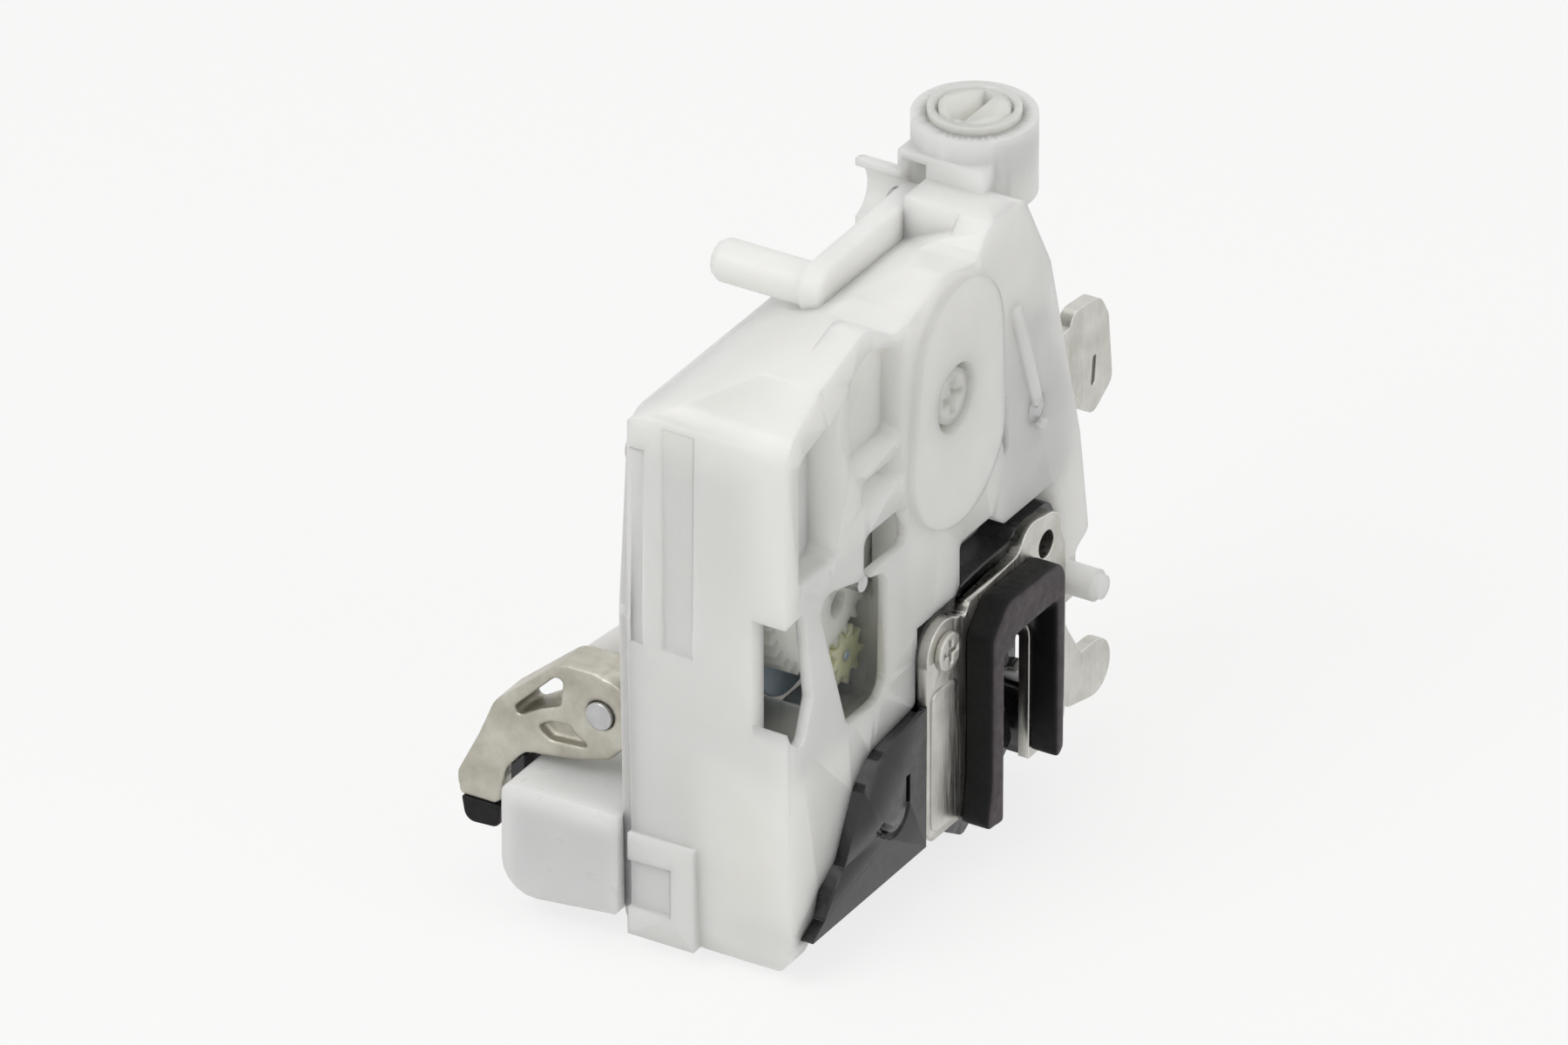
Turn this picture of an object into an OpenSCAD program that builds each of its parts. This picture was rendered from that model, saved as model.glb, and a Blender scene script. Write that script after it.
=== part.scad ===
// Car door lock: latch with claw and pawl, actuator housing with motor and gears.
// Frame: +X leaves the face plate, +Y runs along it, +Z is up.
// The origin is the middle of the striker mouth on the face plate's outer face.

/* [Face plate] */
// Thickness of the steel face plate
plate_t = 2; // [1.5:0.1:2.5]
// Reach of the plate to the left of the mouth
plate_left = 26.5; // [25:0.5:26.5]
// Reach of the plate to the right of the mouth
plate_right = 18; // [17:0.5:18]
// Height of the plate above the mouth's middle
plate_top = 24.5; // [22:0.5:25]
// Depth of the plate below the mouth's middle
plate_bottom = 15; // [14:0.5:16]
// Radius of the rounded ear that holds the plate screw
ear_r = 5.5; // [5:0.1:5.6]
// Height of the mounting tab above the mouth's middle
tab_top = 29; // [28.5:0.5:30]
// Minor radius of the M6 mounting threads
mount_r = 2.5; // [2:0.1:2.7]
// Length of the threaded collars behind the plate
collar_l = 2.5; // [2:0.1:2.5]

/* [Mouth] */
// Width of the striker mouth
mouth_w = 12.6; // [12:0.2:13]
// Height of the mouth's closed end above its middle
mouth_top = 12.5; // [11.5:0.5:12.5]
// Height of the rubber seal in front of the plate
seal_h = 5.3; // [3:0.1:6]
// Width of the seal's left limb
seal_left = 8; // [6:0.2:8.4]
// Width of the left limb's front face, where the funnel to the mouth begins
seal_face = 3.6; // [3:0.2:5]
// Width of the seal's right limb
seal_right = 3; // [2:0.2:4]
// Width of the seal's top band
seal_band = 12; // [8:0.5:13]

/* [Latch] */
// Distance from the mouth's middle to the claw's pivot
claw_reach = 15; // [14.5:0.1:15.5]
// Radius of the claw's pivot
claw_pivot_r = 4; // [3:0.1:4.2]
// Radius of the claw's rim that carries the pawl
claw_rim_r = 16.5; // [16:0.1:16.6]
// Thickness of the claw's steel
claw_t = 5; // [4:0.2:5]
// Angle from open to closed
claw_turn = 52; // [48:1:52]
// Radius of the jaw's seat for the striker
jaw_r = 5.3; // [4.5:0.1:5.4]
// Radius of the pawl's pivot
pawl_pivot_r = 2.5; // [2:0.1:3]
// Thickness of the pawl's steel
pawl_t = 3.5; // [3:0.1:3.5]
// Thickness of the release lever's steel
release_t = 2.2; // [1.8:0.1:2.3]
// Thickness of the steel back plate
back_t = 2; // [1.5:0.1:2]
// Depth of the black latch base, face to back
base_d = 14; // [13.6:0.1:14]

/* [Housing] */
// Depth of the white housing behind its front face
housing_d = 30; // [29:0.5:31]
// Wall thickness of the housing
wall = 2; // [1.6:0.1:2.2]
// Thickness of the rear cover
cover_t = 2; // [1.6:0.1:2.4]
// Height of the raised oval boss
boss_h = 1.6; // [0.8:0.2:2]
// Radius of the oval boss's window
boss_hole_r = 6.2; // [5.5:0.1:6.6]
// Radius of the locating peg
peg_r = 2.8; // [2.5:0.1:2.8]
// Reach of the locating peg in front of the plate's face
peg_reach = 5; // [3:0.5:7]

/* [Lock drive] */
// Module of the gear teeth
gear_module = 1; // [0.95:0.05:1]
// Teeth of the motor's pinion
pinion_teeth = 9; // [9:1:9]
// Teeth of the lock gear's wheel
wheel_teeth = 33; // [33:1:33]
// Teeth of the lock gear's small pinion
small_teeth = 8; // [8:1:8]
// Teeth of a full circle at the lock sector's radius
sector_teeth = 61; // [61:1:61]
// Turn of the lock sector from unlocked to locked
lock_turn = 24; // [16:1:24]
// Radius of the motor
motor_r = 10; // [8:0.5:10]
// Radius of the sector's hub
hub_r = 4.8; // [4:0.1:5]

/* [Tower and knob lever] */
// Radius of the key tower's cup
tower_r = 10.5; // [10:0.1:11]
// Top of the key tower's cup
tower_top = 98; // [96:0.5:102]
// Radius of the key rotor
rotor_r = 7.8; // [6:0.1:8.2]
// Radius of the knob lever's peg
knob_peg_r = 3.75; // [3:0.05:4]
// Reach of the knob lever's peg behind its arm
knob_peg_l = 17.5; // [14:0.5:20]
// Thickness of the knob lever's arm
knob_arm_t = 4; // [3:0.2:4.4]

/* [Levers] */
// Width of the cast outside lever
outside_w = 8; // [6:0.5:9]
// Height of the cast lever's hub radius
outside_hub_r = 7; // [6:0.1:7]
// Thickness of the inside lever's steel
inside_t = 2.5; // [2:0.1:2.6]
// Width of the cable slit in the inside lever
slit_w = 1.4; // [1:0.1:2]

/* [Connector] */
// Width of the connector hood along the plate's normal
hood_l = 22; // [18:0.5:22]
// Height of the connector hood
hood_h = 21; // [18:0.5:23]
// Depth of the connector hood from front to back
hood_w = 20; // [16:0.5:22]
// Wall of the connector hood
hood_wall = 1.8; // [1.4:0.1:2.2]
// Contacts in each row of the connector
pin_count = 4; // [2:1:5]

/* [Hidden] */
$fn = 48;

// Shared clearances
fit = 0.05;
gap = 0.3;
eps = 0.01;

// Wire radii of the pivot springs
claw_spring_wire = 0.6;
pawl_spring_wire = 0.5;

// Height of the door face's pad on the plate
pad_h = 0.3;

// Depth layers behind the face plate
front_x = -plate_t;
claw_x1 = front_x - 1.5;
claw_x0 = claw_x1 - claw_t;
jacket_skin = 0.6;
pocket_x = claw_x0 - 1;
base_x = -base_d;
back_x = base_x - back_t;
release_x1 = front_x - 0.6;
pawl_x1 = release_x1 - release_t;
pawl_x0 = pawl_x1 - pawl_t;
rivet_head = 1.8;
bay_x = back_x - rivet_head - 0.7;
rear_x = front_x - housing_d;
cover_x = rear_x - cover_t;
chamber_x = -10;
spring_room = pocket_x - 0.8 - base_x;

// Places in the plane of the plate, as [Y, Z]
ear = [-21, 19.4];
mount_a = [11.6, 23.2];
mount_b = [12.5, -9.5];
collar_r = mount_r + 1.7;
claw_c = [-claw_reach, 0];
pawl_c = [12.5, 10];
peg_c = [21.8, 11.4];
hub_c = [-16.6, 64.4];
motor_c = [-35.2, 22.5];
knob_c = [3, 84];
knob_end = [-25, 83];
inside_c = [12, 48];
tower_c = [-16, 15];
outside_c = [cover_x - 8, 14];

screw_places = [[-44, -16.5], [-59.5, 66.5], [18, -6.5], [6, 62], [-3, -16.5]];

// Gear radii and the lock gear's centre, which both meshes set
pinion_r = gear_module * pinion_teeth / 2;
wheel_r = gear_module * wheel_teeth / 2;
small_r = gear_module * small_teeth / 2;
sector_r = gear_module * sector_teeth / 2;
mesh_a = pinion_r + wheel_r;
mesh_b = small_r + sector_r;
span = norm(hub_c - motor_c);
along = (mesh_a * mesh_a - mesh_b * mesh_b + span * span) / (2 * span);
aside = sqrt(mesh_a * mesh_a - along * along);
unit = (hub_c - motor_c) / span;
gear_c = motor_c + along * unit + aside * [-unit[1], unit[0]];
mesh_a_deg = atan2(gear_c[1] - motor_c[1], gear_c[0] - motor_c[0]);
mesh_b_deg = atan2(gear_c[1] - hub_c[1], gear_c[0] - hub_c[0]);
pinion_x0 = -14.5;
pinion_x1 = -10;
sector_x0 = -20.5;
sector_x1 = -16.5;
knob_x0 = -23;
release_knee = [21, -2];

// Points of an arc, and of outlines with rounded corners or round ends
function arc(c, r, a0, a1, n = 12) =
    [for (i = [0 : n]) let (a = a0 + (a1 - a0) * i / n) c + r * [cos(a), sin(a)]];
function corner(a, b, c, r, n = 5) =
    let (u = (a - b) / norm(a - b), v = (c - b) / norm(c - b),
         half = acos(max(-1, min(1, u * v))) / 2,
         t = r / tan(half), mid = (u + v) / norm(u + v),
         o = b + mid * r / sin(half),
         p = b + u * t - o, q = b + v * t - o,
         a0 = atan2(p[1], p[0]), turn = atan2(p[0] * q[1] - p[1] * q[0], p * q))
    [for (i = [0 : n]) o + r * [cos(a0 + turn * i / n), sin(a0 + turn * i / n)]];
function flat(p) = [p[0], p[1]];
function rounded(p) =
    let (n = len(p))
    [for (i = [0 : n - 1])
        each corner(flat(p[(i + n - 1) % n]), flat(p[i]), flat(p[(i + 1) % n]), p[i][2])];
function link(a, ra, b, rb) =
    let (d = b - a, turn = atan2(d[1], d[0]), beta = acos((ra - rb) / norm(d)))
    concat(arc(a, ra, turn + beta, turn + 360 - beta, 16),
           arc(b, rb, turn - beta, turn + beta, 12));

// Extrusions: a Y-Z drawing along X, an X-Z drawing along Y
module yz(x0, x1) {
    for (i = [0 : $children - 1])
        translate([x0, 0, 0]) rotate([90, 0, 90]) linear_extrude(x1 - x0) children(i);
}
module xz(y0, y1) {
    translate([0, y1, 0]) rotate([90, 0, 0]) linear_extrude(y1 - y0) children();
}
module disc(c, r) {
    translate(c) circle(r);
}
module box2(a, b) {
    translate(a) square(b - a);
}
module rod_x(c, r, x0, x1) {
    yz(x0, x1) disc(c, r);
}

// Straight-flanked gear teeth with backlash: a full wheel, or a few teeth of one
tooth_tip = 0.78 * gear_module;
tooth_root = 1.15 * gear_module;
function turned(p, a) = [p[0] * cos(a) - p[1] * sin(a), p[0] * sin(a) + p[1] * cos(a)];
function tooth_pts(r, a) =
    [for (p = [[r - tooth_root, -0.8], [r, -0.56], [r + tooth_tip, -0.26],
               [r + tooth_tip, 0.26], [r, 0.56], [r - tooth_root, 0.8]])
        turned([p[0], p[1] * gear_module], a)];
function teeth_pts(r, count, total, first = 0) =
    [for (i = [0 : count - 1]) each tooth_pts(r, first + i * 360 / total)];

// Wound wire about +Z from the origin's plane, with a straight leg at each end
function coil_pts(r, pitch, turns, leg_a, leg_b, start) =
    let (n = round(turns * 20), step = 360 * turns / n,
         p = [for (i = [0 : n]) let (a = start + i * step)
                [r * cos(a), r * sin(a), pitch * turns * i / n]],
         t0 = [-sin(start), cos(start), 0],
         t1 = [-sin(start + n * step), cos(start + n * step), 0])
    concat([p[0] - leg_a * t0], p, [p[n] + leg_b * t1]);
module wire(p, r, sides = 8) {
    n = len(p);
    rings = [for (i = [0 : n - 1])
        let (t = p[min(i + 1, n - 1)] - p[max(i - 1, 0)], u = cross(t / norm(t), [0, 0, 1]),
             side = u / norm(u), up = cross(side, t / norm(t)))
        each [for (k = [0 : sides - 1])
            p[i] + r * (cos(360 * k / sides) * side + sin(360 * k / sides) * up)]];
    polyhedron(rings, concat(
        [[for (k = [0 : sides - 1]) k]],
        [for (i = [0 : n - 2], k = [0 : sides - 1]) let (a = i * sides, b = (k + 1) % sides)
            [a + k, a + sides + k, a + sides + b, a + b]],
        [[for (k = [sides - 1 : -1 : 0]) (n - 1) * sides + k]]));
}

// Outlines that several pieces share
function housing_pts() = rounded([
    [-66, -23, 7], [3, -23, 6], [9, -13, 5], [22, -13, 6], [24.6, 4, 2], [24.6, 15, 1.5],
    [28.8, 17.2, 1.5], [25.8, 37, 8], [15.8, 74, 8], [7, 90, 4], [-4, 90, 3], [-8, 85, 3],
    [-18, 87.5, 4], [-28, 84.5, 3], [-34, 84, 2], [-43, 89.5, 5], [-57, 85, 4],
    [-67.5, 79, 6], [-68, 40, 20]]);
function base_pts(e = 0) = rounded([
    [-64.6 - e, -plate_bottom - e, 0.4], [plate_right + e, -plate_bottom - e, 2],
    [plate_right + e, plate_top, 2], [plate_right - 2 + e, 29 + e, 3], [5.5, 29 + e, 1.5],
    [2.5, 27.4 + e, 1.5], [-12.4 - e, 27.4 + e, 1], [-14 - e, 25.5 + e, 1],
    [-26.9 - e, 25.5 + e, 5.8], [-26.9 - e, 11.2 + e, 1],
    [-41.3, 9.7 + e, 5], [-46.5 - e, 6, 4], [-52.4 - e, -5.4, 2], [-57.8, -8.2 + e, 1],
    [-58.8 - e, -12.6 + e, 1]]);
module mouth2d(w = mouth_w, top = mouth_top, bottom = -40) {
    polygon(rounded([[-w / 2, bottom, 0.5], [w / 2, bottom, 0.5],
                     [w / 2, top, w * 0.35], [-w / 2, top, w * 0.35]]));
}
module pocket2d() {
    difference() {
        union() {
            disc(claw_c, claw_rim_r + 0.8);
            polygon(concat([claw_c], arc(claw_c, 24, -100, 35, 24)));
            polygon([[-14, 8], [-14, 25.4], [4, 25.4], [6, 21.5], [16, 18], [19, 17],
                     [19, -4], [16, -5], [6, -2]]);
        }
        disc(mount_b, collar_r + 0.8);
        disc(ear, 3.3);
    }
}

module housing_shell() difference() {
    union() {
        yz(rear_x, front_x) polygon(housing_pts());
        yz(front_x - eps, front_x + boss_h) polygon(link([-15.5, 55], 14.4, [-14.8, 72], 13));
        // Block and cup of the key tower
        translate([tower_c[0] - 8, 4, 66]) cube([16, 12.5, 28]);
        translate([tower_c[0], tower_c[1], 84]) cylinder(h = tower_top - 84, r = tower_r);
        translate([tower_c[0], tower_c[1], 62]) cylinder(h = 24, r = 7);
        // Raised frame beside the connector
        translate([rear_x, -68, -20]) cube([12.5, 4, 19]);
        // Slanted rib beside the boss
        yz(front_x - eps, front_x + 1.1) polygon(link([4, 70], 1.3, [12.5, 45], 0.9));
    }
    housing_cuts();
}
module housing_cuts() {
    // Sloping rear half of the roof
    xz(-72, -3) polygon([[rear_x - 1, 75.5], [-8, 87.2], [-8, 110], [rear_x - 1, 110]]);
    xz(-3.1, 4) polygon([[rear_x - 1, 75.5], [knob_x0, 79], [knob_x0, 110], [rear_x - 1, 110]]);
    // Corner behind the front foot, hidden below the latch base
    yz(bay_x + 8, 1) polygon([[-60, -26], [30, -26], [30, -14.9], [-60, -14.9]]);
    // Bay for the latch base, deeper where the back plate sits
    yz(base_x, 1) polygon(base_pts(0.2));
    yz(bay_x, 1) box2([-39.5, -26], [plate_right + gap, 10]);
    yz(bay_x, 1) box2([-26.5, 5], [plate_right + gap, 25.6]);
    yz(bay_x, base_x + 1) box2([-22, 5], [plate_right + gap, 28.7]);
    // Recess above the latch base, and the rounded foot below it
    yz(-8, 1) polygon(rounded([[-13, 26, 0.5], [-13, 35, 1.5], [-2, 35, 3], [1, 31.6, 2],
                               [17.6, 31.6, 1], [17.6, 26, 0.5]]));
    xz(-72, 30) polygon(concat([[1, -26], [1, -14]], arc([-11, -14], 9, 0, -90), [[-11, -26]]));
    // Open corner for the release lever's sweep, and the way for its arm
    yz(bay_x, 1) box2([plate_right - 1, -26], [45, 6.6]);
    yz(pawl_x1 - 0.5, 1) polygon(link(pawl_c, 5.2, release_knee, 4));
    // Rear chamber behind the bay, and the gear chamber above it
    yz(rear_x - 1, bay_x - wall) polygon(rounded([
        [-64, -21, 5], [1, -21, 4], [7.5, -11, 4], [20.5, -11, 4], [22.6, 5, 2],
        [22.6, 38, 3], [-64, 38, 3]]));
    yz(rear_x - 1, chamber_x) polygon(rounded([
        [-64, 16, 3], [-43, 16, 3], [-40, 12.6, 2], [-29.5, 12.6, 2], [-28.6, 32.5, 2],
        [22.5, 32.5, 3], [22.5, 38, 4], [14.5, 66, 4], [1, 72.5, 4], [-64, 72.5, 4]]));
    yz(chamber_x - eps, front_x - wall) polygon(rounded([
        [-64, 16, 3], [-43, 16, 3], [-40, 13, 2], [-29, 13, 2], [-29, 50, 4], [-64, 50, 4]]));
    yz(chamber_x - eps, front_x - wall) polygon(rounded([
        [2, 32.5, 3], [22.5, 32.5, 3], [22.5, 38, 4], [14.5, 66, 4], [2, 66, 4]]));
    // Room for the lock gear's wheel
    rod_x(gear_c, wheel_r + tooth_tip + 1, pinion_x0 - 1, pinion_x1 + 0.9);
    // Windows of the front face: gear cavity, upper bay, lower bay, corner slot
    yz(-8, 1) polygon(rounded([
        [-48.6, 18, 3], [-36, 17.6, 4], [-35.5, 41, 4], [-58.5, 47.4, 3]]));
    yz(-8, 1) polygon(rounded([[-44, 56.5, 1.5], [-31.5, 56.5, 1.5], [-31.5, 61.5, 1.5],
                               [-44, 61.5, 1.5]]));
    yz(-8, 1) polygon(rounded([[-43.5, 43, 2], [-29, 43, 2], [-31, 51, 3], [-43.5, 51, 2]]));
    yz(-7.5, 1) polygon(rounded([[-64, 51, 2], [-52, 51, 2], [-52, 78, 3], [-64, 75, 3]]));
    yz(-6, 1) polygon(rounded([[-48, 64, 2], [-31.5, 64, 2], [-31.5, 81, 2], [-42, 85, 3],
                               [-48, 82, 2]]));
    translate([-8.5, -72, 0]) yz(0, 12) polygon(rounded([
        [-2, 45, 2], [10, 46.5, 2], [12.5, 29, 2], [9.5, 21, 1.5], [5.5, 24, 1.5], [-2, 40, 1]]));
    // Boss window and the hub's way through the wall
    rod_x(hub_c, boss_hole_r, -12, 3);
    // Narrow slot between boss and rib
    yz(-6, 1) polygon(link([2.2, 45], 1, [0.6, 54], 1.8));
    // Recessed panel and slot beside the connector
    translate([rear_x - 1, -70, -15]) cube([9, 3.2, 9]);
    translate([-34, -72, 20]) cube([1.7, 6.6, 6.5]);
    // Shallow panels in the left face
    for (panel = [[-31.6, 2.6, 36], [-25.6, 6, 41]])
        translate([panel[0], -72, 35]) cube([panel[1], 4.9, panel[2]]);
    // Slot for the inside lever
    translate([-7.6, 10, 38.5]) cube([3.5, 25, 24]);
    // Slot, pin hole and knob lever room in the tower
    translate([-23.3, -10, 76.5]) cube([knob_arm_t + 2 * gap, 17.8, 16]);
    yz(rear_x - 1, knob_x0 + knob_arm_t + gap) polygon(link(knob_c, 4.8, knob_end, 5));
    rod_x(knob_c, 2 + fit, -29, -9);
    // Cup for the key rotor and its spigot bore
    translate([tower_c[0], tower_c[1], 90]) cylinder(h = 30, r = rotor_r + 0.25);
    translate([tower_c[0], tower_c[1], 85]) cylinder(h = 10, r = 3 + fit);
    // Axle hole of the lock gear, pin hole of the inside lever
    rod_x(gear_c, 1.5 + fit, -10, front_x + 1);
    rod_x(inside_c, 2.5 + fit, -12, 1);
    // Holes for the peg's neighbours and the plate screw
    rod_x(ear, 1.9 + fit, -20, 1);
}

// Columns for the cover screws and the locating peg
module housing_columns() {
    difference() {
        for (c = screw_places) rod_x(c, 3.2, rear_x, 0.5 +
            (c[1] < 30 ? bay_x - wall : c[0] < 0 ? chamber_x : front_x - wall));
        for (c = screw_places) rod_x(c, 1.45, rear_x - 1, rear_x + 10);
    }
    rod_x(peg_c, peg_r + 0.5, bay_x - wall, front_x);
    rod_x(peg_c, peg_r, front_x - eps, peg_reach - 1.2);
    rod_x(peg_c, peg_r - 0.7, peg_reach - 1.3, peg_reach);
}
module main_housing() color("whitesmoke") union() {
    housing_shell();
    housing_columns();
}

module housing_cover() color("whitesmoke") difference() {
    union() {
        yz(cover_x, rear_x) polygon(rounded([
            [-65.4, -22.6, 6.5], [2.8, -22.6, 5.6], [8.6, -12.6, 5], [21.6, -12.6, 5.6],
            [24.2, 4, 2], [24.2, 36, 8], [14.6, 66, 8], [6, 74.8, 4], [-64, 74.8, 5],
            [-67, 40, 20]]));
        // Raised ribs across the cover
        for (z = [-8, 30, 57]) yz(cover_x - 1.2, cover_x + eps)
            polygon(link([z < 20 ? -44 : -58, z], 1.1, [12, z], 1.1));
        // Ear that carries the outside lever's pin
        xz(outside_ear_y0, outside_ear_y1) polygon(rounded([
            [cover_x + 1, outside_c[1] + 17, 0.4], [outside_c[0] - 1.5, outside_c[1] + 11.6, 3],
            [outside_c[0] - 12.6, outside_c[1] + 1.2, 3], [outside_c[0] - 8, outside_c[1] - 6.6, 4],
            [cover_x + 1, outside_c[1] - 8.6, 0.4]]));
    }
    for (c = screw_places) rod_x(c, 1.45, cover_x - 3, rear_x + 1);
    rod_x(hub_c, hub_r + 0.1, cover_x - 3, rear_x + 1);
    xz(outside_ear_y0 - 1, outside_ear_y1 + 1) disc(outside_c, 2.5 + fit);
}

module latch_base() color([0.12, 0.12, 0.13]) difference() {
    union() {
        yz(base_x, front_x) polygon(base_pts());
        yz(front_x - eps, 0) intersection() {
            polygon(base_pts());
            box2([-80, -20], [-plate_left - 0.2, 11.3]);
        }
    }
    yz(pocket_x, front_x + 1) pocket2d();
    yz(base_x - 1, front_x + 1) mouth2d();
    // Way out for the claw's hook below, and for the release lever at the right
    yz(pocket_x, front_x + 1) box2([-19, -30], [7, -6]);
    yz(pawl_x0 - 0.5, front_x + 1) {
        box2([plate_right - 1.3, -4], [plate_right + 5, 16]);
        polygon(link([18.75, -3], 4.1, [22, -12.1], 5.4));
    }
    // Rear recesses for the two springs and the claw switch
    for (c = [claw_c, pawl_c]) rod_x(c, c == claw_c ? 7.4 : 5.2, base_x - 1, pocket_x - 0.6);
    yz(base_x - 1, base_x + switch_d + 0.1) box2([-50.1, -9.1], [-39.9, -0.9]);
    // Pivot, collar and screw holes
    rod_x(claw_c, claw_pivot_r + fit, base_x - 1, 1);
    rod_x(pawl_c, pawl_pivot_r + fit, base_x - 1, 1);
    rod_x(mount_a, collar_r + fit, base_x - 1, 1);
    rod_x(mount_b, collar_r + fit, base_x - 1, 1);
    rod_x(ear, 1.9 + fit, -14.5, 1);
    // Hook-shaped groove in the side face
    yz(-1.2, 1) {
        box2([-33.2, -3.5], [-31.9, 1.6]);
        difference() {
            disc([-36.6, -3.4], 4.7);
            disc([-36.6, -3.4], 3.4);
            box2([-44, -3.5], [-30, 3]);
        }
        box2([-42.6, -5.2], [-40.3, -3.9]);
    }
    // Scallops that lighten the lower edge
    for (y = [-56, -50]) yz(base_x - 1, -3) disc([y, -15.6], 1.8);
}

module face_plate() color([0.72, 0.72, 0.7]) difference() {
    union() {
        yz(front_x, 0) polygon(rounded([
            [-plate_left, -plate_bottom, 2.5], [plate_right, -plate_bottom, 4],
            [plate_right, plate_top - 4, 3], [mount_a[0] + 4.9, plate_top - 1, 2],
            [mount_a[0] + 4.9, tab_top - 1.2, 4], [mount_a[0] - 7, tab_top + 1, 5],
            [mount_a[0] - 8.5, plate_top + 1, 2.5], [-13.6, plate_top, 1],
            [-14.4, plate_top - 2.4, 0.8], [-16.2, plate_top - 1, 0.6],
            [-plate_left, plate_top - 1, 5.4]]));
        rod_x(ear, ear_r, front_x, 0);
        for (c = [mount_a, mount_b]) rod_x(c, collar_r, front_x - collar_l, front_x + eps);
        // Embossed pad that the door's skin lies on
        yz(-eps, pad_h) polygon(rounded([
            [0.9 - plate_left, 1.6 - plate_bottom, 2], [-17.2, 1.6 - plate_bottom, 2],
            [-17.2, 13, 2], [0.9 - plate_left, 13, 2]]));
    }
    yz(front_x - 1, 1) mouth2d();
    for (c = [mount_a, mount_b]) rod_x(c, mount_r, front_x - collar_l - 1, 1);
    rod_x(ear, 1.9 + fit, front_x - 1, 1);
}

module back_plate() color([0.66, 0.66, 0.64]) difference() {
    yz(back_x, base_x) polygon(rounded([
        [-30, -14, 4], [plate_right - 1, -14, 3], [plate_right - 1, 26, 3],
        [14.5, 28.4, 3], [6, 28.4, 2], [2.5, 25.2, 2], [-21, 25.2, 5], [-26, 20, 3],
        [-26, 9.6, 0.5], [-30, 9.6, 2]]));
    yz(back_x - 1, base_x + 1) mouth2d(mouth_w + 1, mouth_top + 0.5);
    rod_x(claw_c, claw_pivot_r + fit, back_x - 1, 0);
    rod_x(pawl_c, pawl_pivot_r + fit, back_x - 1, 0);
    for (c = [mount_a, mount_b]) rod_x(c, 3.3, back_x - 1, 0);
    rod_x(ear, 2.2, back_x - 1, 0);
}

module seal2d() {
    left = -mouth_w / 2 - seal_left;
    right = mouth_w / 2 + seal_right;
    difference() {
        polygon(rounded([
            [left - 1.6, -16.2, 1.2], [left + 4.6, -16.8, 1], [-mouth_w / 2, -11, 2],
            [-mouth_w / 2 + 1, 0, 3], [mouth_w / 2 - 1, 0, 3], [mouth_w / 2, -14.2, 1],
            [right - 0.4, -12.4, 1.6], [right, plate_top - 1, 4], [left + 5, plate_top - 0.4, 3],
            [left, plate_top - 5.5, 3], [left, -8, 8]]));
        polygon(rounded([
            [-mouth_w / 2 - 0.6, -30, 1], [mouth_w / 2 + 0.2, -30, 1],
            [mouth_w / 2 + 0.2, plate_top - seal_band + 0.6, 4],
            [-mouth_w / 2 - 0.6, plate_top - seal_band - 1.4, 3]]));
    }
}
module mouth_seal() color([0.16, 0.14, 0.15]) {
    edge = seal_face - mouth_w / 2 - seal_left;
    roof = plate_top - seal_band + 0.6;
    difference() {
        yz(0, seal_h) seal2d();
        // Funnel that falls to the mouth along the left limb and under the top band
        translate([0, 0, -30]) linear_extrude(30 + roof + 1.6) polygon([
            [0.6, -mouth_w / 2 - 0.6], [seal_h, edge], [seal_h + 1, edge], [seal_h + 1, 0],
            [0.6, 0]]);
        xz(-mouth_w / 2 - 0.6, mouth_w / 2 + 0.2) polygon([
            [0.6, roof - 4], [0.6, roof], [seal_h, roof + 3.8], [seal_h + 1, roof + 3.8],
            [seal_h + 1, roof - 4]]);
    }
}

module striker_buffer() color([0.14, 0.14, 0.14]) difference() {
    yz(base_x, pocket_x - 0.5) mouth2d();
    yz(base_x - 1, 0) box2([-10, -60], [10, 7]);
    yz(base_x - 1, 0) disc([0, 2], 7.4);
}

// Claw in its closed place: hub and rim, then the lip above and the hook below the jaw
module jaw_cut(x0, x1) yz(x0 - 1, x1 + 1) {
    disc([0, 0], jaw_r);
    box2([0, -jaw_r], [20, jaw_r]);
}
module claw_steel(x0, x1) difference() {
    yz(x0, x1) {
        polygon(concat(arc(claw_c, 10, 160, 302, 24), arc(claw_c, 13, 20, 77, 12),
                       arc(claw_c, claw_rim_r, 77, 138, 20), arc(claw_c, 13, 138, 158, 6)));
        polygon(rounded([[-12, -10.2, 1], [-12, 10, 1], [-5, 11.2, 2], [0.5, 10.6, 3],
                         [6, 8.6, 1.8], [6, 4, 1], [0, 0, 0.5], [5, -5, 1],
                         [4.6, -8.8, 1.8], [-1, -10.2, 3]]));
    }
    jaw_cut(x0, x1);
    rod_x(claw_c, claw_pivot_r + fit, x0 - 1, x1 + 1);
}
module claw_skin(x0, x1) difference() {
    yz(x0, x1) {
        polygon(concat(arc(claw_c, 12.4, 140, 310, 28), [[-9, 9]]));
        polygon(rounded([[-14, -12.2, 1], [-14, 0, 1], [-8, 12, 2], [1, 11.6, 3],
                         [7, 9.2, 2], [7, 4, 1], [0, 0, 0.5], [6, -5, 1],
                         [5.4, -9.8, 2], [-1, -12.2, 4]]));
    }
    jaw_cut(x0, x1);
    yz(x0 - 1, x1 + 1) polygon(concat([claw_c], arc(claw_c, 40, 42, 139, 20)));
    rod_x(claw_c, claw_pivot_r + 1.6, x0 - 1, x1 + 1);
}
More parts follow.
